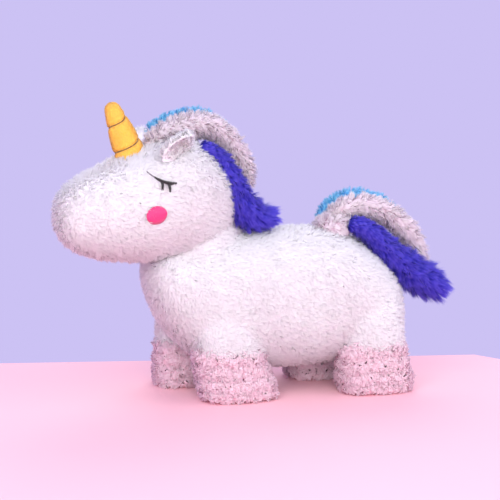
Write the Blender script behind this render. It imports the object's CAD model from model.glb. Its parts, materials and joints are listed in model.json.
"""The looks of a plush unicorn: stuffed plush skins, their pile, embroidery, horn, mane and tail.

Lengths are millimetres on the toy's own middle plane ("toy" coordinates: x from head to tail, y to the
toy's right, z up from the floor); world() turns them into the frame's metres.
"""
import json
import math

import bpy
import numpy as np
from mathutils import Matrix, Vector, kdtree
from mathutils.bvhtree import BVHTree

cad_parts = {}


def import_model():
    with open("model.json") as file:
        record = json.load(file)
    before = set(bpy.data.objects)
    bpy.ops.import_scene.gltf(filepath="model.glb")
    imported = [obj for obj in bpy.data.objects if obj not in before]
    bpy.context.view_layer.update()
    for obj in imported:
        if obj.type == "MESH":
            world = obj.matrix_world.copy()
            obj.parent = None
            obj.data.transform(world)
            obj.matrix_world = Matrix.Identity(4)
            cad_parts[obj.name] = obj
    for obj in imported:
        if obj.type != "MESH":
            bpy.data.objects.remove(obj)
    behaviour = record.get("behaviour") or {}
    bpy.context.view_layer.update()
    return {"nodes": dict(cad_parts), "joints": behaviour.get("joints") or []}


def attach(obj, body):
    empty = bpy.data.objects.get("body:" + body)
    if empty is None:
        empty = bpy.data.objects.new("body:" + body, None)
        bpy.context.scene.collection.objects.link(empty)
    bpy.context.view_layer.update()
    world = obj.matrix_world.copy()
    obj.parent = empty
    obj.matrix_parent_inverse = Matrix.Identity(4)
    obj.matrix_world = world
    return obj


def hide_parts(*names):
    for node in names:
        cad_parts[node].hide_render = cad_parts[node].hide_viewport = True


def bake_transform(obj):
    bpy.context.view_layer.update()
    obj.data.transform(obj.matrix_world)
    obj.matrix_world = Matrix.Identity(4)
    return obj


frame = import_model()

MM = 0.001

# ---- the toy's own places

joints = {j["name"]: j for j in frame["joints"]}
NECK_X, NECK_Z = -58.0, 150.0
ORIGIN = np.array(joints["neck_turn"]["pos_m"]) / MM - (NECK_X, 0.0, NECK_Z)
ACROSS = np.array(joints["head_nod"]["axis"], float)      # from the head's left cheek to its right one
BACK = np.array((ACROSS[1], -ACROSS[0], 0.0))             # from the muzzle to the nape
UP = np.array((0.0, 0.0, 1.0))
NECK = np.array((NECK_X, 0.0, NECK_Z))


def world(p):
    """Toy millimetres to frame metres."""
    return (np.asarray(p, float) + ORIGIN) * MM


def toy(p):
    """Frame metres to toy millimetres."""
    return np.asarray(p, float) / MM - ORIGIN


def head(along, across, z):
    """Head coordinates (from the neck, back and right) to toy coordinates."""
    along, across, z = np.broadcast_arrays(np.asarray(along, float), across, z)
    flat = NECK * (1, 1, 0) + along[..., None] * BACK + across[..., None] * ACROSS
    return flat + z[..., None] * UP


def unit(v):
    v = np.asarray(v, float)
    return v / np.maximum(np.linalg.norm(v, axis=-1, keepdims=True), 1e-9)


LEGS = {
    leg: toy(joints[f"{leg}_leg_swing"]["pos_m"])
    for leg in ("front_left", "front_right", "rear_left", "rear_right")
}

# ---- meshes from arrays


def mesh_object(name, points, faces, smooth=True):
    """A mesh object from toy millimetres."""
    mesh = bpy.data.meshes.new(name)
    mesh.from_pydata(world(points).tolist(), [], [tuple(int(i) for i in f) for f in faces])
    mesh.update()
    if smooth:
        mesh.shade_smooth()
    made = bpy.data.objects.new(name, mesh)
    bpy.context.scene.collection.objects.link(made)
    return made


def eased_rows(rows, steps):
    """Rows of numbers joined by a smooth curve through each of them."""
    rows = np.asarray(rows, float)
    padded = np.vstack((2 * rows[0] - rows[1], rows, 2 * rows[-1] - rows[-2]))
    out = []
    for n in range(len(rows) - 1):
        a, b, c, d = padded[n:n + 4]
        for t in np.linspace(0, 1, steps, endpoint=False):
            out.append(0.5 * (2 * b + (c - a) * t + (2 * a - 5 * b + 4 * c - d) * t * t
                              + (3 * b - a - 3 * c + d) * t ** 3))
    out.append(rows[-1])
    return np.array(out)


def oval(count, power=2.0):
    """Unit points round a superellipse: power 2 is an ellipse, higher is squarer."""
    a = np.linspace(0, 2 * np.pi, count, endpoint=False)
    c, s = np.cos(a), np.sin(a)
    return np.sign(c) * abs(c) ** (2 / power), np.sign(s) * abs(s) ** (2 / power)


def lofted(rings):
    """Points and faces of a closed form through rings of equal count."""
    rings = np.asarray(rings, float)
    n, m, _ = rings.shape
    points = np.vstack((rings.reshape(-1, 3), rings[0].mean(0), rings[-1].mean(0)))
    faces = []
    for i in range(n - 1):
        for j in range(m):
            k = (j + 1) % m
            faces.append((i * m + j, i * m + k, (i + 1) * m + k, (i + 1) * m + j))
    for j in range(m):
        k = (j + 1) % m
        faces.append((n * m, k, j))
        faces.append((n * m + 1, (n - 1) * m + j, (n - 1) * m + k))
    return points, faces


def lying_form(rows, place, power=2.15, count=48, steps=6):
    """A closed form along the body or head: rows of (along, middle height, half height, half width)."""
    ring_across, ring_up = oval(count, power)
    rings = [place(x, wide * ring_across, mid + tall * ring_up)
             for x, mid, tall, wide in eased_rows(rows, steps)]
    return lofted(rings)


def standing_form(rows, power=2.4, count=40, steps=5):
    """A closed upright form: rows of (height, middle x, middle y, half length, half width)."""
    ring_x, ring_y = oval(count, power)
    rings = []
    for z, x, y, long, wide in eased_rows(rows, steps):
        rings.append(np.stack((x + long * ring_x, y + wide * ring_y, np.full(count, z)), 1))
    return lofted(rings)


def body_place(x, y, z):
    y, z = np.broadcast_arrays(np.asarray(y, float), z)
    return np.stack((np.full(y.shape, float(x)), y, z), -1)


def fused_skin(name, forms, voxel, rounds):
    """One smooth closed skin round several closed forms, its inner corners rounded by smoothing."""
    points, faces, base = [], [], 0
    for form_points, form_faces in forms:
        points.append(form_points)
        faces += [tuple(i + base for i in f) for f in form_faces]
        base += len(form_points)
    rough = mesh_object(name + "_rough", np.vstack(points), faces)
    remesh = rough.modifiers.new("Even", "REMESH")
    remesh.mode = "VOXEL"
    remesh.voxel_size = voxel * MM
    graph = bpy.context.evaluated_depsgraph_get()
    mesh = bpy.data.meshes.new_from_object(rough.evaluated_get(graph))
    bpy.data.objects.remove(rough)
    p, edges = arrays_of(mesh)[0], np.empty(len(mesh.edges) * 2, np.int32)
    mesh.edges.foreach_get("vertices", edges)
    a, b = edges[::2], edges[1::2]
    ends, others = np.concatenate((a, b)), np.concatenate((b, a))
    degree = np.bincount(ends, minlength=len(p))[:, None]
    for _ in range(rounds):
        total = np.stack([np.bincount(ends, weights=p[others, k], minlength=len(p)) for k in range(3)], 1)
        p = p + 0.6 * (total / degree - p)
    mesh.vertices.foreach_set("co", world(p).astype(np.float32).ravel())
    mesh.update()
    mesh.shade_smooth()
    mesh.name = name
    return mesh


def arrays_of(mesh):
    """Toy points, triangles and vertex normals of a mesh."""
    p = np.empty(len(mesh.vertices) * 3, np.float32)
    mesh.vertices.foreach_get("co", p)
    n = np.empty(len(mesh.vertices) * 3, np.float32)
    mesh.vertex_normals.foreach_get("vector", n)
    mesh.calc_loop_triangles()
    t = np.empty(len(mesh.loop_triangles) * 3, np.int32)
    mesh.loop_triangles.foreach_get("vertices", t)
    return toy(p.reshape(-1, 3)), t.reshape(-1, 3), n.reshape(-1, 3).astype(float)


def cut_out(mesh, name, keep):
    """An object of the faces whose middles pass keep(points, normals)."""
    p, _, n = arrays_of(mesh)
    corners = [tuple(f.vertices) for f in mesh.polygons]
    middle = np.array([p[list(c)].mean(0) for c in corners])
    facing = np.array([n[list(c)].mean(0) for c in corners])
    chosen = [corners[i] for i in np.flatnonzero(keep(middle, facing))]
    used = sorted({i for c in chosen for i in c})
    new = {old: k for k, old in enumerate(used)}
    return mesh_object(name, p[used], [[new[i] for i in c] for c in chosen])


# ---- pile

TONES = 32


def scatter(mesh, per_mm2, seed, keep=None):
    """Even random places on a mesh, with their normals: roots of pile."""
    rng = np.random.default_rng(seed)
    p, t, n = arrays_of(mesh)
    a, b, c = p[t[:, 0]], p[t[:, 1]], p[t[:, 2]]
    area = np.linalg.norm(np.cross(b - a, c - a), axis=1) / 2
    run = np.cumsum(area)
    count = int(run[-1] * per_mm2)
    pick = np.searchsorted(run, (np.arange(count) + rng.random(count)) / count * run[-1])
    pick = np.minimum(pick, len(t) - 1)
    u, v = rng.random(count), rng.random(count)
    flip = u + v > 1
    u[flip], v[flip] = 1 - u[flip], 1 - v[flip]
    w = 1 - u - v
    ids = t[pick]
    root = p[ids[:, 0]] * w[:, None] + p[ids[:, 1]] * u[:, None] + p[ids[:, 2]] * v[:, None]
    normal = unit(n[ids[:, 0]] * w[:, None] + n[ids[:, 1]] * u[:, None] + n[ids[:, 2]] * v[:, None])
    if keep is not None:
        held = keep(root, normal)
        root, normal = root[held], normal[held]
    return root, normal


def clump_of(roots, per_clump, rng):
    """For each root, the root that leads its clump."""
    count = max(1, int(len(roots) / per_clump))
    leaders = rng.choice(len(roots), count, replace=False)
    tree = kdtree.KDTree(count)
    for k, i in enumerate(leaders):
        tree.insert(roots[i], k)
    tree.balance()
    return leaders[[tree.find(r)[1] for r in roots]]


def pile_lines(roots, normals, comb, length, parts, seed, lean=(25, 60), spread=0.5, per_clump=10,
               pull=0.5, curl=0.0, turns=1.0, sag=0.0):
    """Centre lines of pile fibres: they stand up from the fabric, lean along comb and draw into clumps."""
    rng = np.random.default_rng(seed)
    count = len(roots)
    across = unit(comb - (comb * normals).sum(1, keepdims=True) * normals)
    side = np.cross(normals, across)
    leaders = clump_of(roots, per_clump, rng)
    yaw = rng.normal(0, spread, count) * 0.5 + rng.normal(0, spread, count)[leaders]
    flow = across * np.cos(yaw)[:, None] + side * np.sin(yaw)[:, None]
    size = length * rng.uniform(0.75, 1.15, count) * rng.uniform(0.85, 1.12, count)[leaders]
    slant = np.radians(rng.normal(0, 9, count) + rng.normal(0, 7, count)[leaders])
    phase = rng.uniform(0, 2 * np.pi, count)
    line = [roots]
    for k in range(parts):
        f = (k + 0.5) / parts
        angle = np.radians(lean[0] + (lean[1] - lean[0]) * f) + slant
        step = normals * np.cos(angle)[:, None] + flow * np.sin(angle)[:, None]
        step = unit(step - UP * (sag * f))
        line.append(line[-1] + step * (size / parts)[:, None])
    line = np.stack(line, 1)
    share = np.linspace(0, 1, parts + 1)[None, :, None]
    line = line + (line[leaders] - line) * pull * share ** 1.4
    if curl:
        first = unit(np.cross(unit(line[:, -1] - line[:, 0]), side + 0.01))
        second = unit(np.cross(unit(line[:, -1] - line[:, 0]), first))
        spin = phase[:, None] + share[:, :, 0] * turns * 2 * np.pi
        swing = (np.cos(spin) - np.cos(phase[:, None]))[..., None] * first[:, None]
        swing = swing + (np.sin(spin) - np.sin(phase[:, None]))[..., None] * second[:, None]
        line = line + swing * curl * np.minimum(1, share * 3)
    return line


def pile(name, line, normals, width, body, material, seed, round_off=0.35, belly=0.6):
    """Fibres as thin tapered ribbons along their centre lines, lit as the plush they make up."""
    rng = np.random.default_rng(seed + 1)
    count, rows, _ = line.shape
    parts = rows - 1
    ahead = unit(np.gradient(line, axis=1))
    facing = unit(normals[:, None] + ahead * 0.15 + rng.normal(0, 0.14, (count, 1, 3)))
    side = unit(np.cross(ahead, facing))
    share = np.linspace(0, 1, rows)
    half = width / 2 * rng.uniform(0.7, 1.2, (count, 1)) * (1 - (1 - belly) * share ** 1.5)[None, :]
    left = line - side * half[..., None]
    right = line + side * half[..., None]
    pairs = np.stack((left[:, :-1], right[:, :-1]), 2).reshape(count, parts * 2, 3)
    points = np.concatenate((pairs, line[:, -1:]), 1)
    per = parts * 2 + 1
    tris = []
    for k in range(parts - 1):
        a, b, c, d = 2 * k, 2 * k + 1, 2 * k + 3, 2 * k + 2
        tris += [(a, b, c), (a, c, d)]
    tris.append((2 * parts - 2, 2 * parts - 1, 2 * parts))
    tris = np.array(tris)
    # winding so that a ribbon's lit side is the side away from the skin
    normal0 = np.cross(right[:, 0] - left[:, 0], line[:, 1] - line[:, 0])
    turn = (normal0 * normals).sum(1) < 0
    index = tris[None] + (np.arange(count) * per)[:, None, None]
    index[turn] = index[turn][:, :, ::-1]
    loops = index.reshape(-1).astype(np.int32)
    mesh = bpy.data.meshes.new(name)
    mesh.vertices.add(count * per)
    mesh.vertices.foreach_set("co", world(points.reshape(-1, 3)).astype(np.float32).ravel())
    mesh.loops.add(len(loops))
    mesh.loops.foreach_set("vertex_index", loops)
    faces = len(loops) // 3
    mesh.polygons.add(faces)
    mesh.polygons.foreach_set("loop_start", np.arange(faces, dtype=np.int32) * 3)
    mesh.update(calc_edges=True)
    mesh.validate()
    # one column of the chart per tone, and root to tip up the column
    tone = rng.integers(0, TONES, count)
    up_chart = np.concatenate((np.repeat(share[:-1], 2), [1.0]))
    across_chart = np.concatenate((np.tile((0.1, 0.9), parts), [0.5]))
    u = (tone[:, None] + across_chart[None]) / TONES
    v = np.broadcast_to(up_chart[None], u.shape)
    chart = np.stack((u, v), -1).reshape(-1, 2)[loops]
    mesh.uv_layers.new(name="OFBake").data.foreach_set("uv", chart.astype(np.float32).ravel())
    shade = unit(normals[:, None] * (1 - round_off) + ahead * round_off)
    shade = np.concatenate((np.repeat(shade[:, :-1], 2, axis=1), shade[:, -1:]), 1).reshape(-1, 3)
    mesh.shade_smooth()
    mesh.normals_split_custom_set_from_vertices(shade.astype(np.float32))
    made = bpy.data.objects.new(name, mesh)
    bpy.context.scene.collection.objects.link(made)
    made.data.materials.append(material)
    if body:
        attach(made, body)
    return made


# ---- materials


def srgb(r, g, b):
    """A colour given as 0..255 sRGB, as linear values."""
    return tuple(((c / 255 + 0.055) / 1.055) ** 2.4 if c > 10 else c / 3295 for c in (r, g, b)) + (1.0,)


def new_material(name, roughness, specular=0.3, sheen=0.0):
    made = bpy.data.materials.new(name)
    made.use_nodes = True
    shader = made.node_tree.nodes["Principled BSDF"]
    shader.inputs["Roughness"].default_value = roughness
    shader.inputs["Specular IOR Level"].default_value = specular
    shader.inputs["Sheen Weight"].default_value = sheen
    return made, made.node_tree, shader


def ramp(tree, source, stops):
    node = tree.nodes.new("ShaderNodeValToRGB")
    tree.links.new(source, node.inputs["Fac"])
    while len(node.color_ramp.elements) < len(stops):
        node.color_ramp.elements.new(0.5)
    for element, (place, colour) in zip(node.color_ramp.elements, stops):
        element.position = place
        element.color = colour
    return node.outputs["Color"]


SHINE_THROUGH = 0.48      # the share of light that goes on through a fibre


def pile_material(name, along, tones, roughness=0.8, specular=0.2, sheen=0.2):
    """Pile: a colour from root to tip, times a tone that differs from fibre to fibre."""
    made, tree, shader = new_material(name, roughness, specular, sheen)
    chart = tree.nodes.new("ShaderNodeUVMap")
    chart.uv_map = "OFBake"
    split = tree.nodes.new("ShaderNodeSeparateXYZ")
    tree.links.new(chart.outputs["UV"], split.inputs["Vector"])
    mix = tree.nodes.new("ShaderNodeMix")
    mix.data_type = "RGBA"
    mix.blend_type = "MULTIPLY"
    mix.inputs["Factor"].default_value = 1.0
    tree.links.new(ramp(tree, split.outputs["Y"], along), mix.inputs[6])
    tree.links.new(ramp(tree, split.outputs["X"], tones), mix.inputs[7])
    tree.links.new(mix.outputs[2], shader.inputs["Base Color"])
    through = tree.nodes.new("ShaderNodeBsdfTranslucent")
    tree.links.new(mix.outputs[2], through.inputs["Color"])
    both = tree.nodes.new("ShaderNodeMixShader")
    both.inputs["Fac"].default_value = SHINE_THROUGH
    tree.links.new(shader.outputs["BSDF"], both.inputs[1])
    tree.links.new(through.outputs["BSDF"], both.inputs[2])
    tree.links.new(both.outputs["Shader"], tree.nodes["Material Output"].inputs["Surface"])
    return made


def cloth_material(name, colour, shade, scale, depth, roughness=0.85, sheen=0.3):
    """Knitted or woven cloth: a fine repeating bump and a little variation in its colour."""
    made, tree, shader = new_material(name, roughness, 0.25, sheen)
    place = tree.nodes.new("ShaderNodeTexCoord")
    noise = tree.nodes.new("ShaderNodeTexNoise")
    noise.inputs["Scale"].default_value = scale / 4
    noise.inputs["Detail"].default_value = 4
    tree.links.new(place.outputs["Object"], noise.inputs["Vector"])
    tint = ramp(tree, noise.outputs["Fac"], [(0.3, shade), (0.7, colour)])
    tree.links.new(tint, shader.inputs["Base Color"])
    weave = tree.nodes.new("ShaderNodeTexVoronoi")
    weave.inputs["Scale"].default_value = scale
    tree.links.new(place.outputs["Object"], weave.inputs["Vector"])
    bump = tree.nodes.new("ShaderNodeBump")
    bump.inputs["Strength"].default_value = 0.6
    bump.inputs["Distance"].default_value = depth * MM
    tree.links.new(weave.outputs["Distance"], bump.inputs["Height"])
    tree.links.new(bump.outputs["Normal"], shader.inputs["Normal"])
    return made


WHITE_PILE = pile_material(
    "white_pile",
    [(0.0, srgb(248, 245, 249)), (0.4, srgb(252, 250, 252)), (1.0, srgb(253, 252, 253))],
    [(0.0, srgb(251, 250, 252)), (0.5, srgb(255, 255, 255)), (1.0, srgb(255, 254, 255))])
PINK_PILE = pile_material(
    "pink_teddy_pile",
    [(0.0, srgb(253, 216, 230)), (0.3, srgb(255, 232, 242)), (1.0, srgb(255, 240, 247))],
    [(0.0, srgb(253, 244, 248)), (0.6, srgb(255, 251, 253)), (1.0, srgb(255, 255, 255))])
LONG_PINK = pile_material(
    "long_pink_pile",
    [(0.0, srgb(250, 232, 241)), (0.35, srgb(253, 243, 249)), (1.0, srgb(254, 249, 252))],
    [(0.0, srgb(250, 242, 250)), (0.5, srgb(255, 252, 255)), (1.0, srgb(255, 255, 255))], 0.6, 0.3)
LONG_PURPLE = pile_material(
    "long_purple_pile",
    [(0.0, srgb(26, 22, 150)), (0.4, srgb(60, 52, 214)), (1.0, srgb(122, 106, 238))],
    [(0.0, srgb(180, 178, 225)), (0.5, srgb(244, 242, 255)), (1.0, srgb(255, 255, 255))], 0.45, 0.4)
LONG_BLUE = pile_material(
    "long_blue_pile",
    [(0.0, srgb(64, 172, 240)), (0.35, srgb(104, 208, 252)), (1.0, srgb(172, 232, 255))],
    [(0.0, srgb(225, 236, 252)), (0.5, srgb(248, 252, 255)), (1.0, srgb(255, 255, 255))], 0.5, 0.35)
GOLD_PILE = pile_material(
    "gold_nap",
    [(0.0, srgb(250, 196, 80)), (0.5, srgb(254, 216, 108)), (1.0, srgb(255, 232, 160))],
    [(0.0, srgb(246, 236, 220)), (0.5, srgb(255, 252, 245)), (1.0, srgb(255, 255, 255))])
KNIT, FELT, SMOOTH = (900, 0.3), (1600, 0.25), (1400, 0.25)      # loops per metre, depth in mm
WHITE_BACKING = cloth_material("white_knit_backing", srgb(248, 244, 250), srgb(242, 236, 246), *KNIT)
PINK_BACKING = cloth_material("pink_knit_backing", srgb(254, 222, 234), srgb(252, 208, 224), *KNIT)
PURPLE_BACKING = cloth_material("purple_backing", srgb(40, 30, 150), srgb(30, 22, 120), *KNIT)
BLUE_BACKING = cloth_material("blue_backing", srgb(86, 186, 244), srgb(64, 166, 232), *KNIT)
LILAC_BACKING = cloth_material("pale_pink_backing", srgb(250, 226, 240), srgb(244, 216, 234), *KNIT)
GOLD_CLOTH = cloth_material("gold_felt", srgb(253, 212, 100), srgb(250, 196, 78), *FELT)
LINING_CLOTH = cloth_material("ear_lining_cloth", srgb(253, 247, 249), srgb(250, 240, 244), *SMOOTH)


def thread_material(name, colour, shade, roughness=0.45):
    """Embroidery thread: fine twisted strands with a soft shine."""
    made, tree, shader = new_material(name, roughness, 0.5, 0.3)
    place = tree.nodes.new("ShaderNodeTexCoord")
    twist = tree.nodes.new("ShaderNodeTexWave")
    twist.inputs["Scale"].default_value = 700
    twist.inputs["Distortion"].default_value = 3
    tree.links.new(place.outputs["Object"], twist.inputs["Vector"])
    tint = ramp(tree, twist.outputs["Fac"], [(0.1, shade), (0.8, colour)])
    tree.links.new(tint, shader.inputs["Base Color"])
    bump = tree.nodes.new("ShaderNodeBump")
    bump.inputs["Strength"].default_value = 0.5
    bump.inputs["Distance"].default_value = 0.1 * MM
    tree.links.new(twist.outputs["Fac"], bump.inputs["Height"])
    tree.links.new(bump.outputs["Normal"], shader.inputs["Normal"])
    return made


BLACK_THREAD = thread_material("black_thread", srgb(24, 20, 24), srgb(8, 6, 10))
GREY_THREAD = thread_material("grey_thread", srgb(150, 140, 150), srgb(120, 112, 122))
CHEEK_THREAD = thread_material("cheek_thread", srgb(226, 52, 124), srgb(200, 28, 98))
BROWN_THREAD = thread_material("brown_thread", srgb(92, 58, 24), srgb(60, 36, 14))
WHITE_THREAD = thread_material("white_thread", srgb(240, 238, 242), srgb(222, 218, 226))

# ---- stuffed skins

# rows of (place along, middle height, half height, half width)
TORSO = [
    (-106, 122, 8, 12), (-104, 121, 16, 24), (-99, 117, 26, 36), (-92, 113, 37, 44), (-80, 107, 47, 51),
    (-58, 98, 57, 56),
    (-25, 94.5, 64, 58), (5, 94, 67, 59), (40, 94, 68, 59), (70, 94.5, 66.5, 59), (92, 93.5, 62.5, 58),
    (114, 90, 54, 56), (130, 86, 46, 51), (142, 82, 37, 44), (149, 78, 27, 34), (152, 76, 14, 18),
]
HEAD = [
    (-139, 184, 6, 6), (-137.5, 184, 14, 13.5), (-133, 183.5, 22, 22), (-125, 183.5, 29.5, 29.5),
    (-112, 184, 36.5, 37), (-98, 185, 41.5, 42.5), (-84, 187, 45.5, 46.5), (-60, 191, 52, 51.5),
    (-35, 195, 56, 54), (-12, 197, 56, 53), (10, 195, 46, 46.5), (27, 191, 33, 35),
    (37, 188, 19, 20), (41, 187, 8, 9),
]


# how far the foot and the top of the cuff stand behind the hip's place
STANCE = {
    "front_left": (1.0, -11.0),
    "front_right": (0.0, -2.5),
    "rear_left": (4.0, -1.0),
    "rear_right": (1.0, 0.0),
}
FOOT_LOW, CUFF_RISE = 6, 50             # the height where the leg begins to lean, and the rise it leans over
LEG_HALF, LEG_INNER, LEG_TOP, LEG_STIFF = 37, 9, 104, 62
LEG_SLOPE, LEG_FLAT = 0.35, 20          # the leg's top edge slopes down beyond this distance from its middle


def leg_rows(x, y, foot, top):
    """A leg's skin: under the cuff, up the shank and into the body."""
    return [(4, x + foot, y, 27, 17.5), (12, x + foot * 0.9 + top * 0.1, y, 31, 20.5),
            (40, x + foot * 0.3 + top * 0.7, y, 31, 21.5), (66, x + top * 1.1, y, 30.5, 22.5),
            (88, x + top * 1.25, y * 0.94, 28, 21), (108, x + top * 1.3, y * 0.86, 21, 15),
            (118, x + top * 1.3, y * 0.8, 11, 8)]


leg_forms = {leg: standing_form(leg_rows(hip[0], hip[1], *STANCE[leg]), 2.5) for leg, hip in LEGS.items()}
neck_rows = [(95, NECK_X - 2, 0, 38, 38), (120, NECK_X, 0, 42, 41), (148, NECK_X + 1, 0, 42, 40),
             (164, NECK_X + 5, 0, 41, 35), (174, NECK_X + 6, 0, 36, 29), (186, NECK_X, 0, 14, 14)]
body_skin = fused_skin("body_skin", [lying_form(TORSO, body_place)] + list(leg_forms.values())
                       + [standing_form(neck_rows, 2.1)], 2.6, 10)
head_skin = fused_skin("head_skin", [lying_form(HEAD, head, 2.1)], 2.6, 6)


def head_parts(p):
    """Toy points as (along, across, z) of the head."""
    rel = np.asarray(p, float) - NECK * (1, 1, 0)
    return rel @ BACK, rel @ ACROSS, rel[..., 2]


def leg_zone(p, leg, grow=0.0):
    """True inside the part of the body skin that swings with a leg."""
    hip = LEGS[leg]
    side = np.sign(hip[1])
    middle = hip[0] + STANCE[leg][1] * np.clip((p[:, 2] - FOOT_LOW) / CUFF_RISE, 0, 1.2)
    aside = abs(p[:, 0] - middle)
    top = LEG_TOP + grow - LEG_SLOPE * np.maximum(aside - LEG_FLAT, 0)
    return (aside < LEG_HALF + grow) & (p[:, 1] * side > LEG_INNER - grow) & (p[:, 2] < top)


NECK_BASE, NECK_ROUND = 140, 50


def neck_zone(p):
    """True on the stump of skin between shoulders and head."""
    return (p[:, 2] > NECK_BASE) & (np.hypot(p[:, 0] - NECK_X, p[:, 1]) < NECK_ROUND)


def in_any_leg(p, grow=0.0):
    return np.any([leg_zone(p, leg, grow) for leg in LEGS], axis=0)


def head_inside(p, inset):
    """True for points inside the head's egg, by its rows, with a margin."""
    along, across, z = head_parts(p)
    rows = np.array(HEAD, float)
    mid = np.interp(along, rows[:, 0], rows[:, 1])
    tall = np.interp(along, rows[:, 0], rows[:, 2]) - inset
    wide = np.interp(along, rows[:, 0], rows[:, 3]) - inset
    inside = (along > rows[0, 0]) & (along < rows[-1, 0]) & (tall > 1) & (wide > 1)
    return inside & ((across / np.maximum(wide, 1)) ** 2 + ((z - mid) / np.maximum(tall, 1)) ** 2 < 1)


SKINS = {}


def skin_piece(name, nodes, body, keep, material):
    """One sewn piece: the part of the body skin that keep(points, normals) holds."""
    made = cut_out(body_skin, name, keep)
    made.data.materials.append(material)
    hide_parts(*nodes)
    SKINS[name] = made
    if body:
        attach(made, body)
    return made


def on_torso(p):
    return ~in_any_leg(p) & ~neck_zone(p)


BELLY_HALF, BELLY_TOP = 17.0, 66


def on_belly(p):
    return (abs(p[:, 1]) < BELLY_HALF) & (p[:, 2] < BELLY_TOP)


skin_piece("torso_plush_left", ["torso_side_left"], "torso",
           lambda p, n: on_torso(p) & (p[:, 1] <= 0) & ~on_belly(p), WHITE_BACKING)
skin_piece("torso_plush_right", ["torso_side_right"], "torso",
           lambda p, n: on_torso(p) & (p[:, 1] > 0) & ~on_belly(p), WHITE_BACKING)
skin_piece("belly_strip", ["belly_gusset"], "torso",
           lambda p, n: on_torso(p) & on_belly(p), WHITE_BACKING)

# the stuffed torso itself goes on behind the legs, so that a swung leg uncovers plush, not a hole
UNDER_SKIN = 2
stuffing_points, stuffing_faces = lying_form(
    [(x, m, t - UNDER_SKIN, w - UNDER_SKIN) for x, m, t, w in TORSO[1:-1]], body_place)
torso_filling = mesh_object("torso_filling", stuffing_points, stuffing_faces)
torso_filling.data.materials.append(WHITE_BACKING)
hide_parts("torso_stuffing")
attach(torso_filling, "torso")

neck_sleeve = skin_piece("neck_sleeve", ["neck_cover", "neck_stuffing"], None,
                         lambda p, n: neck_zone(p) & ~in_any_leg(p), WHITE_BACKING)
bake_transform(neck_sleeve)


def leg_bend(piece):
    """Leg skin and pile bend out of the torso over the height of the hip."""
    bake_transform(piece)


for leg in LEGS:
    part = skin_piece(f"{leg}_shank", [f"{leg}_leg_plush", f"{leg}_leg_stuffing"], None,
                      lambda p, n, leg=leg: leg_zone(p, leg) & (p[:, 2] > 20), WHITE_BACKING)
    leg_bend(part)

head_cover = mesh_object("head_plush", *arrays_of(head_skin)[:2])
head_cover.data.materials.append(WHITE_BACKING)
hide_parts("head_side_left", "head_side_right", "forehead_gusset", "head_stuffing")
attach(head_cover, "head")

# ---- places on the head

head_tree = BVHTree.FromPolygons(*[a.tolist() for a in arrays_of(head_skin)[:2]])


def on_cheek(along, z, side):
    """The point and outward normal of the head's skin at a place seen from its side."""
    start = head(along, side * 150, z)
    hit, normal, _, _ = head_tree.ray_cast(Vector(start), Vector(-side * ACROSS))
    return np.array(hit), np.array(normal)


def on_crown(along, across):
    """The point and outward normal of the head's skin at a place seen from above."""
    start = head(along, across, 400)
    hit, normal, _, _ = head_tree.ray_cast(Vector(start), Vector((0, 0, -1)))
    return np.array(hit), np.array(normal)


# places on the cheek are (along the head, height); sizes are half lengths
CHEEK = (-62.0, 186.5)
CHEEK_SIZE = (9.6, 8.0)
CHEEK_TILT = math.radians(16)
FLANK = 25.0                        # embroidery is only this far out from the middle
LID_MIDDLE = (-44.2, 242.0)
LID_RADIUS = 28.0
LID_RANGE = (221.0, 275.0)          # degrees from the nape's direction, turning through up
LID_BOLD = 241.0                    # the thick part of the line begins here
LASHES = ((248.5, 7.6), (260, 7.6))  # place on the lid in degrees, length
HORN = head(-64.5, 0, 236.3)
HORN_LEAN = math.radians(22)
HORN_AXIS = unit(-BACK * math.sin(HORN_LEAN) + UP * math.cos(HORN_LEAN))
EARS = {side: toy(joints[f"ear_{side}_fold"]["pos_m"]) for side in ("left", "right")}


def lid_distance(along, z):
    """How far a place on the cheek is from the line of the closed lid."""
    dx, dz = along - LID_MIDDLE[0], z - LID_MIDDLE[1]
    angle = np.degrees(np.arctan2(dz, dx)) % 360
    near = abs(np.hypot(dx, dz) - LID_RADIUS)
    return np.where((angle > LID_RANGE[0]) & (angle < LID_RANGE[1]), near, 99.0)


def keep_head_pile(p, n):
    """No pile under the embroidery, the horn or the neck seam."""
    along, across, z = head_parts(p)
    dx, dz = along - CHEEK[0], z - CHEEK[1]
    cx = dx * math.cos(CHEEK_TILT) + dz * math.sin(CHEEK_TILT)
    cz = -dx * math.sin(CHEEK_TILT) + dz * math.cos(CHEEK_TILT)
    cheek = (abs(across) > FLANK) & ((cx / CHEEK_SIZE[0]) ** 2 + (cz / CHEEK_SIZE[1]) ** 2 < 1.12)
    lid = (abs(across) > FLANK) & (lid_distance(along, z) < 1.5)
    horn = np.linalg.norm(np.cross(p - HORN, HORN_AXIS), axis=1) < 12.0
    horn &= z > 220
    return ~cheek & ~lid & ~horn


# ---- white pile

DENSITY = 0.95          # fibres to a square millimetre
PILE_LENGTH, PILE_WIDTH = 6.8, 1.15


def nap(p):
    """The direction the white pile was brushed in: back and down, with slow wandering."""
    flow = np.tile((0.75, 0.0, -0.65), (len(p), 1))
    flow[:, 0] += 0.5 * np.sin(p[:, 2] / 17 + p[:, 1] / 23)
    flow[:, 1] += 0.4 * np.sin(p[:, 0] / 19 + 1.3)
    flow[:, 2] += 0.35 * np.sin(p[:, 0] / 13 + p[:, 1] / 29)
    return flow


def white_pile(name, mesh, body, seed, keep, length=PILE_LENGTH, density=DENSITY):
    root, normal = scatter(mesh, density, seed, keep)
    line = pile_lines(root, normal, nap(root), length, 2, seed, lean=(36, 66), spread=0.55, per_clump=6,
                      pull=0.25)
    return pile(name, line, normal, PILE_WIDTH, body, WHITE_PILE, seed, round_off=0.12)


def bare_under_head(p, n):
    return ~head_inside(p, 9)


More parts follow.
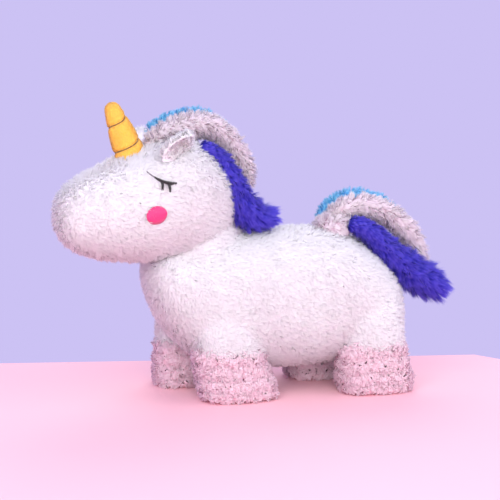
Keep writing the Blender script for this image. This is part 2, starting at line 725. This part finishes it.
white_pile("torso_pile_left", SKINS["torso_plush_left"].data, "torso", 11, bare_under_head)
white_pile("torso_pile_right", SKINS["torso_plush_right"].data, "torso", 12, bare_under_head)
white_pile("belly_pile", SKINS["belly_strip"].data, "torso", 13, None)
white_pile("hip_pile", torso_filling.data, "torso", 14,
           lambda p, n: in_any_leg(p, 3) & (n[:, 2] < 0.2) & (p[:, 2] < 80), 4.5, 0.6)
neck_pile = white_pile("neck_pile", neck_sleeve.data, None, 15, bare_under_head)
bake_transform(neck_pile)
for number, leg in enumerate(LEGS):
    fur = white_pile(f"{leg}_pile", SKINS[f"{leg}_shank"].data, None, 20 + number,
                     lambda p, n: p[:, 2] > 44)
    leg_bend(fur)
white_pile("head_pile_left", head_cover.data, "head", 31,
           lambda p, n: keep_head_pile(p, n) & (head_parts(p)[1] <= 0))
white_pile("head_pile_right", head_cover.data, "head", 32,
           lambda p, n: keep_head_pile(p, n) & (head_parts(p)[1] > 0))

# ---- hooves


def lumpy(points, normals, size, depth):
    """Points pushed out into soft round lumps, as curly pile gathers."""
    x, y, z = (points / size * 2 * np.pi).T
    wave = (np.sin(x + 0.7 * np.sin(z * 0.8)) * np.sin(y * 0.9 + 1.1)
            + np.sin(z + 0.9 * np.sin(x * 0.6 + y * 0.7)))
    return points + normals * (wave * depth / 2)[:, None]


# rows of (height, half length, half width)
CUFF = ((0.8, 28, 16), (2.5, 34, 21.5), (8, 36.5, 24.2), (24, 35, 23.8), (42, 33, 23), (50, 31.5, 22.2),
        (52, 27, 19))
CUFF_LEAN = 44          # the cuff leans over this much of its height
LOW_CUFF = 0.88         # the far front cuff is shorter
LUMP_SIZE, LUMP_DEPTH = 13, 1.5


for number, (leg, hip) in enumerate(LEGS.items()):
    foot, top = STANCE[leg]
    rows = [(z, hip[0] + foot + (top - foot) * min(1, max(0, z - FOOT_LOW) / CUFF_LEAN), hip[1], long, wide)
            for z, long, wide in CUFF]
    if leg == "front_right":
        rows = [(z * LOW_CUFF, *rest) for z, *rest in rows]
    block = fused_skin(f"{leg}_cuff_form", [standing_form(rows, 2.9)], 2.4, 4)
    p, t, n = arrays_of(block)
    p = lumpy(p, n, LUMP_SIZE, LUMP_DEPTH)
    p[:, 2] = np.maximum(p[:, 2], 0.4)
    cuff = mesh_object(f"{leg}_hoof", p, t)
    cuff.data.materials.append(PINK_BACKING)
    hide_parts(f"{leg}_hoof_cuff", f"{leg}_sole")
    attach(cuff, f"{leg}_leg")
    root, normal = scatter(cuff.data, 0.85, 40 + number, lambda p, n: (n[:, 2] > -0.6) & (p[:, 2] > 1.5))
    comb = np.random.default_rng(60 + number).normal(0, 1, root.shape) + (0, 0, -0.4)
    line = pile_lines(root, normal, comb, 7.0, 3, 70 + number, lean=(38, 82), spread=1.0, per_clump=9,
                      pull=0.4, curl=0.6, turns=1.1)
    line[..., 2] = np.maximum(line[..., 2], 0.2)
    pile(f"{leg}_hoof_pile", line, normal, 1.5, f"{leg}_leg", PINK_PILE, 80 + number, 0.3, 0.8)

# ---- thread, lids and cheeks


def tube(path, radius, sides=6):
    """Points and faces of a closed tube along a path."""
    path = np.asarray(path, float)
    ahead = unit(np.gradient(path, axis=0))
    first = unit(np.cross(ahead, (0.31, 0.52, 0.79)))
    second = np.cross(ahead, first)
    a = np.linspace(0, 2 * np.pi, sides, endpoint=False)
    radius = np.broadcast_to(np.asarray(radius, float), (len(path),))
    rings = (path[:, None] + radius[:, None, None]
             * (np.cos(a)[None, :, None] * first[:, None] + np.sin(a)[None, :, None] * second[:, None]))
    return lofted(rings)


def threads(name, paths, radius, material, body, nodes=()):
    """Many thread tubes as one piece."""
    points, faces, base = [], [], 0
    for path in paths:
        p, f = tube(path, radius)
        points.append(p)
        faces += [tuple(i + base for i in g) for g in f]
        base += len(p)
    made = mesh_object(name, np.vstack(points), faces)
    made.data.materials.append(material)
    if nodes:
        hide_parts(*nodes)
    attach(made, body)
    return made


STITCH_LIFT = 4.4      # embroidery lies at the height of the flattened pile
STITCH_DIP = 1.4       # and goes this far down at its ends
CHEEK_PITCH, LID_PITCH = 0.5, 0.8        # from stitch to stitch: mm, and degrees round the lid


def stitch(along0, z0, along1, z1, side, puff, lift=STITCH_LIFT):
    """One satin stitch: a thread bowed over the fabric between two places on the cheek."""
    path = []
    for f in np.linspace(0, 1, 5):
        point, normal = on_cheek(along0 + (along1 - along0) * f, z0 + (z1 - z0) * f, side)
        bow = math.sin(math.pi * min(max(f, 0.06), 0.94))
        path.append(point + normal * (lift - STITCH_DIP + (STITCH_DIP + puff) * bow))
    return path


def on_lid(radius, angle):
    """A place on the cheek at a distance and direction, in radians, from the lid's middle."""
    return LID_MIDDLE[0] + radius * math.cos(angle), LID_MIDDLE[1] + radius * math.sin(angle)


for side, word in ((-1, "left"), (1, "right")):
    rows = []
    ct, st = math.cos(CHEEK_TILT), math.sin(CHEEK_TILT)
    for x in np.arange(-CHEEK_SIZE[0] + CHEEK_PITCH / 2, CHEEK_SIZE[0], CHEEK_PITCH):
        tall = CHEEK_SIZE[1] * math.sqrt(1 - (x / CHEEK_SIZE[0]) ** 2)
        if tall < 1:
            continue
        ends = [(CHEEK[0] + x * ct - y * st, CHEEK[1] + x * st + y * ct) for y in (-tall, tall)]
        rows.append(stitch(*ends[0], *ends[1], side, puff=1.2))
    threads(f"cheek_{word}_stitches", rows, 0.36, CHEEK_THREAD, "head", [f"cheek_{word}"])
    bold, thin = [], []
    for angle in np.arange(LID_RANGE[0], LID_RANGE[1], LID_PITCH):
        wide = (0.35 + 1.1 * np.clip((angle - 232) / 12, 0, 1)
                * np.clip((LID_RANGE[1] + 2 - angle) / 14, 0.1, 1))
        a = math.radians(angle)
        ends = [(on_lid(LID_RADIUS + w, a + 0.02 * w)[0], on_lid(LID_RADIUS + w, a)[1])
                for w in (-wide, wide)]
        (bold if angle > LID_BOLD - 6 else thin).append(stitch(*ends[0], *ends[1], side, puff=0.8))
    for angle, size in LASHES:
        a, tip = math.radians(angle), math.radians(angle + 3)
        for spread in np.linspace(-0.045, 0.045, 5):
            start = on_lid(LID_RADIUS, a + spread)
            end = on_lid(LID_RADIUS + size, tip + spread * 0.3)
            bold.append(stitch(*start, *end, side, puff=0.8))
    threads(f"lid_{word}_stitches", bold, 0.42, BLACK_THREAD, "head", [f"eye_{word}"])
    threads(f"lid_{word}_fine_stitches", thin, 0.3, GREY_THREAD, "head")

# ---- horn

HORN_BASE, HORN_TIP, HORN_LENGTH = 14.4, 7.4, 49.0
HORN_PITCH, HORN_START = 24.5, -4.0
HORN_FLAT, HORN_FACE = 0.125, math.radians(241)      # the winding rises least on the face side
horn_first = unit(np.cross(ACROSS, HORN_AXIS))
horn_second = np.cross(HORN_AXIS, horn_first)


def horn_point(height, angle, out=0.0):
    """A point on the horn: a cone whose stuffing bulges between turns of the cinching thread."""
    f = np.clip(height / HORN_LENGTH, -0.3, 1)
    radius = HORN_BASE + (HORN_TIP - HORN_BASE) * f + 1.4 * np.sin(np.pi * np.clip(f, 0, 1)) + out
    turn = ((height - HORN_START) / HORN_PITCH - angle / (2 * np.pi)
            + HORN_FLAT * np.sin(angle - HORN_FACE))
    near = np.abs(turn - np.round(turn)) * HORN_PITCH
    held = (height > 3) & (height < HORN_LENGTH - 3)
    radius = radius - np.where(held, 1.5 * np.exp(-(near / 2.1) ** 2), 0)
    over = np.clip((height - HORN_LENGTH) / HORN_TIP, 0, 1)
    radius = radius * np.sqrt(np.maximum(1 - over ** 2, 0.0004))
    ring = np.cos(angle)[..., None] * horn_first + np.sin(angle)[..., None] * horn_second
    return HORN + HORN_AXIS * np.asarray(height)[..., None] + ring * radius[..., None]


heights = np.concatenate((np.linspace(-7, HORN_LENGTH, 74),
                          HORN_LENGTH + HORN_TIP * np.sin(np.linspace(0.1, 1.55, 10))))
angles = np.linspace(0, 2 * np.pi, 56, endpoint=False)
grid = horn_point(heights[:, None] + 0 * angles[None], angles[None] + 0 * heights[:, None])
horn = mesh_object("horn_cloth", *lofted(grid))
horn.data.materials.append(GOLD_CLOTH)
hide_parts("horn_cover", "horn_stuffing")
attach(horn, "horn")
root, normal = scatter(horn.data, 3.0, 90, lambda p, n: ((p - HORN) @ HORN_AXIS) > -2)
line = pile_lines(root, normal, np.tile(HORN_AXIS, (len(root), 1)), 1.5, 2, 91, lean=(35, 70), per_clump=5,
                  pull=0.3)
pile("horn_nap", line, normal, 0.55, "horn", GOLD_PILE, 92)
turned = np.radians(np.linspace(100, 705, 130))
wind = HORN_START + HORN_PITCH * (turned / (2 * np.pi) - HORN_FLAT * np.sin(turned - HORN_FACE))
winding = horn_point(wind, turned, 0.35)
threads("horn_winding", [winding], 0.55, BROWN_THREAD, "horn", ["horn_thread"])

# ---- ears


EAR_TALL, EAR_HALF, EAR_BEND = 38.0, 19.0, 13.0


def build_ear(word, side):
    """A padded flap, cupped and folded forward at its root, plush outside and smooth inside."""
    root = EARS[word]
    foot, normal = on_crown(head_parts(root)[0] - 5, head_parts(root)[1] * 0.84)
    rise = unit(UP * 0.86 + ACROSS * side * 0.42 - BACK * 0.2)
    wide = unit(BACK * 0.86 + ACROSS * side * -0.38)
    out = unit(np.cross(rise, wide))
    out = out * np.sign(out @ (ACROSS * side))
    rise = unit(np.cross(wide, out)) * np.sign(np.cross(wide, out) @ UP)
    u = np.linspace(-1, 1, 19)
    v = np.linspace(0, 1, 17)
    front, rear = [], []
    for level in v:
        swell = 0.86 + 0.2 * math.sin(math.pi * min(level * 1.3, 1))
        spread = EAR_HALF * (1 - level ** 2.3) ** 0.62 * swell
        bend = EAR_BEND * level ** 2
        height = EAR_TALL * (level - 0.16 * level ** 3)
        row_f, row_r = [], []
        for a in u:
            cup = -0.5 * (1 - a * a) * (1 - 0.3 * level) + 5.0 * max(-a, 0) ** 2 * level
            base = foot - normal * 3 + wide * (a * spread - 4.0 * level ** 2) + rise * height
            thick = 3.2 * math.sqrt(max(1 - a * a, 0)) * (1 - 0.6 * level) + 0.3
            row_f.append(base + out * (bend + cup + thick))
            row_r.append(base + out * (bend + cup - thick))
        front.append(row_f)
        rear.append(row_r)
    rings = [np.vstack((f, np.array(r)[::-1])) for f, r in zip(front, rear)]
    flap = mesh_object(f"ear_{word}_flap", *lofted(np.array(rings)))
    flap.data.materials.append(WHITE_BACKING)
    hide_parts(f"ear_{word}_plush")
    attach(flap, f"ear_{word}")
    # the smooth lining lies in the cup, facing out
    grid = np.array(front)[1:12, 4:-4] + out * 0.25
    inner = grid - out * 1.2
    rings = [np.vstack((f, r[::-1])) for f, r in zip(grid, inner)]
    lining = mesh_object(f"ear_{word}_inside", *lofted(np.array(rings)))
    lining.data.materials.append(LINING_CLOTH)
    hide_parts(f"ear_{word}_lining")
    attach(lining, f"ear_{word}")
    spot, facing = scatter(lining.data, 1.2, 130 + side, lambda p, n: n @ out > 0.2)
    line = pile_lines(spot, facing, np.tile(rise, (len(spot), 1)), 3.2, 2, 140 + side, lean=(30, 62))
    pile(f"ear_{word}_inside_pile", line, facing, 1.1, f"ear_{word}", WHITE_PILE,
         150 + side, 0.2)
    spot, facing = scatter(flap.data, 1.5, 100 + side, lambda p, n: (p - foot) @ rise > 1)
    inside = facing @ out > 0.35
    comb = np.tile(rise * 0.7 - BACK * 0.5, (len(spot), 1))
    line = pile_lines(spot, facing, comb, 6.5, 2, 110 + side, lean=(25, 62), per_clump=7, pull=0.4)
    line = spot[:, None] + (line - spot[:, None]) * np.where(inside, 0.55, 1.0)[:, None, None]
    pile(f"ear_{word}_pile", line, facing, 1.1, f"ear_{word}", WHITE_PILE, 120 + side, 0.25)


build_ear("left", -1)
build_ear("right", 1)

# ---- mane and tail


def eased_path(points, count):
    rows = eased_rows(points, 12)
    step = np.concatenate(([0], np.cumsum(np.linalg.norm(np.diff(rows, axis=0), axis=1))))
    even = np.linspace(0, step[-1], count)
    return np.stack([np.interp(even, step, rows[:, k]) for k in range(3)], 1)


LOCK_RINGS = 60


PINK = (LONG_PINK, LILAC_BACKING, "long_pile_pink")
BLUE = (LONG_BLUE, BLUE_BACKING, "long_pile_blue")
PURPLE = (LONG_PURPLE, PURPLE_BACKING, "long_pile_purple")


def long_lock(node, body, dye, points, core, reach, count, seed, up_hint, flow, width, brush=0.0, sag=0.15):
    """A strip of long pile: a sewn core with fibres that leave it all round and sweep along it.

    core and reach are the core's radius and the fibres' length at even steps along the lock.
    """
    colour, backing, slot_name = dye
    rng = np.random.default_rng(seed)
    path = eased_path(points, LOCK_RINGS)
    ahead = unit(np.gradient(path, axis=0))
    up = unit(np.tile(up_hint, (LOCK_RINGS, 1)) - (ahead @ np.asarray(up_hint, float))[:, None] * ahead)
    side = np.cross(ahead, up)
    radius = np.interp(np.linspace(0, 1, LOCK_RINGS), np.linspace(0, 1, len(core)), core)
    a = np.linspace(0, 2 * np.pi, 14, endpoint=False)
    rings = path[:, None] + radius[:, None, None] * (np.cos(a)[None, :, None] * up[:, None]
                                                     + np.sin(a)[None, :, None] * side[:, None])
    strip = mesh_object(f"{node}_lock_strip", *lofted(rings))
    strip.data.materials.append(backing)
    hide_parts(node)
    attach(strip, body)
    t = np.sort(rng.random(count))
    where = t * (LOCK_RINGS - 1)
    low = np.minimum(where.astype(int), LOCK_RINGS - 2)
    mix = (where - low)[:, None]

    def along(values):
        return values[low] * (1 - mix) + values[low + 1] * mix

    angle = np.radians(rng.uniform(-180, 180, count))
    out = unit(np.cos(angle)[:, None] * along(up) + np.sin(angle)[:, None] * along(side))
    root = along(path) + out * along(radius[:, None]) * 0.9
    forward = unit(along(ahead))
    size = np.interp(t, np.linspace(0, 1, len(reach)), reach)
    ending = np.clip((t - 0.86) / 0.14, 0, 1)[:, None] * brush
    leaders = clump_of(root, 16, rng)
    size = size * rng.uniform(0.8, 1.12, count) * rng.uniform(0.88, 1.1, count)[leaders]
    sway = rng.normal(0, 0.16, (count, 3)) + rng.normal(0, 0.2, (count, 3))[leaders]
    parts = 3
    line = [root]
    for k in range(parts):
        f = (k + 0.5) / parts
        step = (out * (1 - flow * f * 1.1) * (1 - 0.75 * ending) + forward * (flow * (0.3 + f))
                + sway * (0.4 + f))
        step = unit(step + forward * ending * 1.2 - UP * sag * f)
        line.append(line[-1] + step * (size / parts * (1 + 0.8 * ending[:, 0]))[:, None])
    line = np.stack(line, 1)
    share = np.linspace(0, 1, parts + 1)[None, :, None]
    line = line + (line[leaders] - line) * 0.5 * share ** 1.5
    shade = unit(out * 0.85 + forward * 0.15 * ending)
    pile(f"{node}_lock_pile", line, shade, width, body, colour, seed + 5, 0.15, 0.75)


# the mane's line over the crown: place along the head, height
CREST = [(-46, 245), (-38, 254), (-19, 262.5), (-3, 266), (11, 266.5), (24, 263), (36, 254.5), (46, 243),
         (54, 230.5), (59, 218), (59, 206)]
CREST_OUT = head(25, 0, 300) - head(5, 0, 215)

long_lock("mane_pink", "head", PINK, [head(x, 0, z) for x, z in CREST],
          [4, 6, 7, 7, 7, 7, 6, 3], [8, 10, 10.5, 10.5, 10, 9.5, 9.5, 9], 14000, 200, CREST_OUT, 0.3, 0.75,
          sag=0.4)
long_lock("mane_blue", "head", BLUE, [head(x, 16, z + 5.5) for x, z in CREST[1:-1]],
          [4, 6, 7, 7, 7, 6, 3], [7, 8, 8, 8, 8, 8, 8], 9000, 210, CREST_OUT, 0.3, 0.68)
long_lock("mane_purple", "mane_lock", PURPLE,
          [head(*place) for place in ((-2, -21, 248), (14, -25, 236), (27, -29, 213), (37, -32, 190),
                                      (49, -33, 178), (60, -32, 177))],
          [3, 5, 7, 9, 10, 6], [8, 10, 12, 14, 15, 13], 13000, 220, ACROSS * -0.6 + UP, 0.7, 0.62, brush=0.8)

# the tail's locks, from the tail's root: (back, right, up)
TAIL_ROOT = toy(joints["tail_lift"]["pos_m"])
TAIL_PINK = ((-5, 0, -9), (2, 0, 1), (12, 0, 6.5), (26, 0, 9), (44, 0, 6), (64, 0, -4), (80, 0, -19),
             (90, 0, -36), (93, 0, -47))
TAIL_BLUE = ((-9, 16, -9), (-1, 17, 3), (11, 18, 10.5), (26, 18, 13.5), (44, 18, 11), (62, 18, 1),
             (76, 18, -14), (84, 18, -30))
TAIL_PURPLE = ((9, -20, -6), (24, -21, -11), (38, -22, -22), (53, -23, -37), (72, -23, -54), (91, -22, -66),
               (100, -22, -72))
TAIL_OUT, TAIL_SIDE = np.array((0.3, 0, 1.0)), np.array((0.6, -0.3, 1.0))
long_lock("tail_pink", "tail", PINK, TAIL_ROOT + np.array(TAIL_PINK, float), [4, 6, 7, 7, 7, 7, 5, 3],
          [8, 10, 10, 10, 10, 10, 10, 9], 13000, 230, TAIL_OUT, 0.4, 0.68, brush=0.3, sag=0.35)
long_lock("tail_blue", "tail", BLUE, TAIL_ROOT + np.array(TAIL_BLUE, float), [4, 6, 7, 7, 7, 5, 3],
          [7, 8, 9, 9, 9, 9, 8], 8000, 240, TAIL_OUT, 0.4, 0.68, brush=0.3)
long_lock("tail_purple", "tail", PURPLE, TAIL_ROOT + np.array(TAIL_PURPLE, float), [4, 6, 7, 7, 9, 10, 6],
          [8, 11, 12, 15, 18, 18, 14], 15000, 250, TAIL_SIDE, 0.7, 0.62, brush=0.6)

# a small plush mound joins the tail's locks to the rump
MOUND = ((156, 17), (160, 18), (166, 16), (171, 10), (173, 4))          # height, radius
MOUND_X = 88
mound = mesh_object("tail_mound", *standing_form([(z, MOUND_X, 0, wide, wide) for z, wide in MOUND], 2.0))
mound.data.materials.append(LILAC_BACKING)
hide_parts("tail_tab")
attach(mound, "tail_root")
root, normal = scatter(mound.data, 1.2, 260, lambda p, n: n[:, 2] > -0.2)
line = pile_lines(root, normal, np.tile((0.6, 0.0, -0.8), (len(root), 1)), 9.0, 3, 261, lean=(20, 60),
                  spread=0.9)
pile("tail_mound_pile", line, normal, 1.2, "tail_root", LONG_PINK, 262, round_off=0.15)
closing = frame["nodes"]["closing_stitch"]
closing.data.materials.clear()
closing.data.materials.append(WHITE_THREAD)

# ---- floor, light and camera

TABLE = [(-3.6, -3.5, 0), (2.6, -3.5, 0), (0.283, 0.09, 0), (-3.1, 0.64, 0)]
floor_mesh = bpy.data.meshes.new("floor")
floor_mesh.from_pydata(TABLE, [], [(0, 1, 2, 3)])
floor = bpy.data.objects.new("floor", floor_mesh)
bpy.context.scene.collection.objects.link(floor)
floor_finish, _, floor_shader = new_material("pale_floor", 0.7, 0.2)
floor_shader.inputs["Base Color"].default_value = srgb(244, 190, 200)
floor.data.materials.append(floor_finish)

bpy.context.scene.view_settings.view_transform = "Standard"
backdrop = bpy.data.worlds.new("soft_studio")
bpy.context.scene.world = backdrop
backdrop.use_nodes = True
backdrop.node_tree.nodes["Background"].inputs["Color"].default_value = srgb(204, 194, 244)
backdrop.node_tree.nodes["Background"].inputs["Strength"].default_value = 1.0


def soft_light(name, place, size, watts, colour):
    """A large square lamp that looks at the middle of the toy."""
    data = bpy.data.lights.new(name, "AREA")
    data.size = size
    data.energy = watts
    data.color = colour
    made = bpy.data.objects.new(name, data)
    made.location = place
    made.rotation_mode = "QUATERNION"
    made.rotation_quaternion = (Vector((0, 0, 0.14)) - Vector(place)).to_track_quat("-Z", "Y")
    bpy.context.scene.collection.objects.link(made)


for lamp in (
        ("key", (-0.8, -1.4, 1.3), 1.5, 27, (0.96, 1.0, 0.88)),
        ("front", (0.1, -2.2, 0.55), 1.6, 22, (0.96, 1.0, 0.88)),
        ("fill", (1.5, -1.0, 0.9), 1.4, 13, (0.98, 1.03, 0.9)),
        ("low", (-0.9, -1.9, 0.12), 0.9, 7, (1.0, 0.93, 0.93)),
        ("rim", (0.4, 1.2, 1.4), 1.2, 14, (0.98, 1.03, 0.9)),
):
    soft_light(*lamp)

CAMERA_TURN = math.radians(-14)
CAMERA_DOWN = math.radians(7.83)
CAMERA_BACK, CAMERA_HEIGHT = 1.24, 0.312
camera_data = bpy.data.cameras.new("camera")
camera_data.lens = 90
camera_data.sensor_width = 36
camera = bpy.data.objects.new("camera", camera_data)
bpy.context.scene.collection.objects.link(camera)
ahead = Vector((-math.sin(CAMERA_TURN), math.cos(CAMERA_TURN), 0))
camera.location = Vector(world((0, 0, 0))) - ahead * CAMERA_BACK + Vector((0, 0, CAMERA_HEIGHT))
look = ahead * math.cos(CAMERA_DOWN) - Vector((0, 0, math.sin(CAMERA_DOWN)))
camera.rotation_mode = "QUATERNION"
camera.rotation_quaternion = look.to_track_quat("-Z", "Y")
camera_data.clip_end = 20
bpy.context.scene.camera = camera
